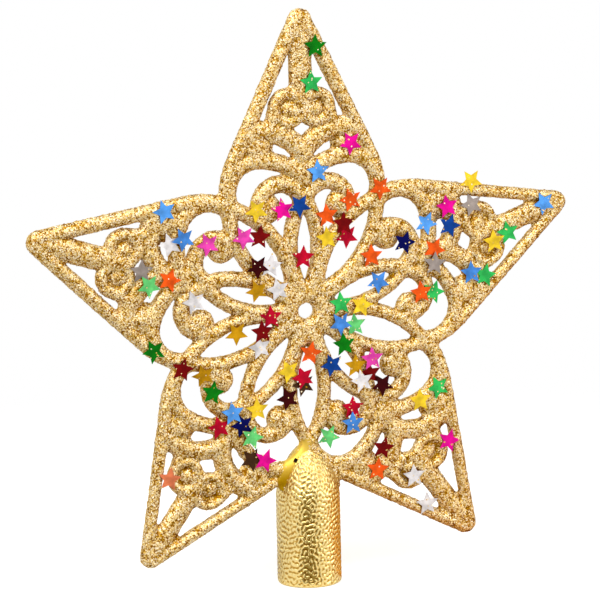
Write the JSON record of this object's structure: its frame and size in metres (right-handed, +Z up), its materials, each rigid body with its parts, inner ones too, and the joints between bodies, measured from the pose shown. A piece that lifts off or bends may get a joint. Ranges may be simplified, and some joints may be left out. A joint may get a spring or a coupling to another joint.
{
  "type": "christmas tree topper star",
  "caption": "Flat pierced filigree star with scattered foil star sequins, on an upright socket with a rounded nose that slips over the top shoot of a Christmas tree.",
  "frame": {"origin": "centre of the socket's mouth, at the lowest point of the topper", "axes": "+Z up along the socket's axis, front of the star towards -Y, +X to the right seen from the front"},
  "size_m": [0.1678, 0.0192, 0.1703],
  "materials": {
    "star_frame": "gold plated, front under fine gold glitter",
    "socket": "gold plated, wrinkled texture",
    "sequins_light_blue": "metallised foil",
    "sequins_blue": "metallised foil",
    "sequins_deep_blue": "metallised foil",
    "sequins_navy": "metallised foil",
    "sequins_light_green": "metallised foil",
    "sequins_green": "metallised foil",
    "sequins_dark_green": "metallised foil",
    "sequins_pink": "metallised foil",
    "sequins_magenta": "metallised foil",
    "sequins_dark_red": "metallised foil",
    "sequins_maroon": "metallised foil",
    "sequins_crimson": "metallised foil",
    "sequins_orange": "metallised foil",
    "sequins_salmon": "metallised foil",
    "sequins_yellow": "metallised foil",
    "sequins_gold": "metallised foil",
    "sequins_brown": "metallised foil",
    "sequins_white": "metallised foil",
    "sequins_silver": "metallised foil"
  },
  "bodies": {
    "root": {"star_frame": "star_frame", "socket": "socket", "sequins_light_blue": "sequins_light_blue", "sequins_blue": "sequins_blue", "sequins_deep_blue": "sequins_deep_blue", "sequins_navy": "sequins_navy", "sequins_light_green": "sequins_light_green", "sequins_green": "sequins_green", "sequins_dark_green": "sequins_dark_green", "sequins_pink": "sequins_pink", "sequins_magenta": "sequins_magenta", "sequins_dark_red": "sequins_dark_red", "sequins_maroon": "sequins_maroon", "sequins_crimson": "sequins_crimson", "sequins_orange": "sequins_orange", "sequins_salmon": "sequins_salmon", "sequins_yellow": "sequins_yellow", "sequins_gold": "sequins_gold", "sequins_brown": "sequins_brown", "sequins_white": "sequins_white", "sequins_silver": "sequins_silver"}
  },
  "joints": []
}
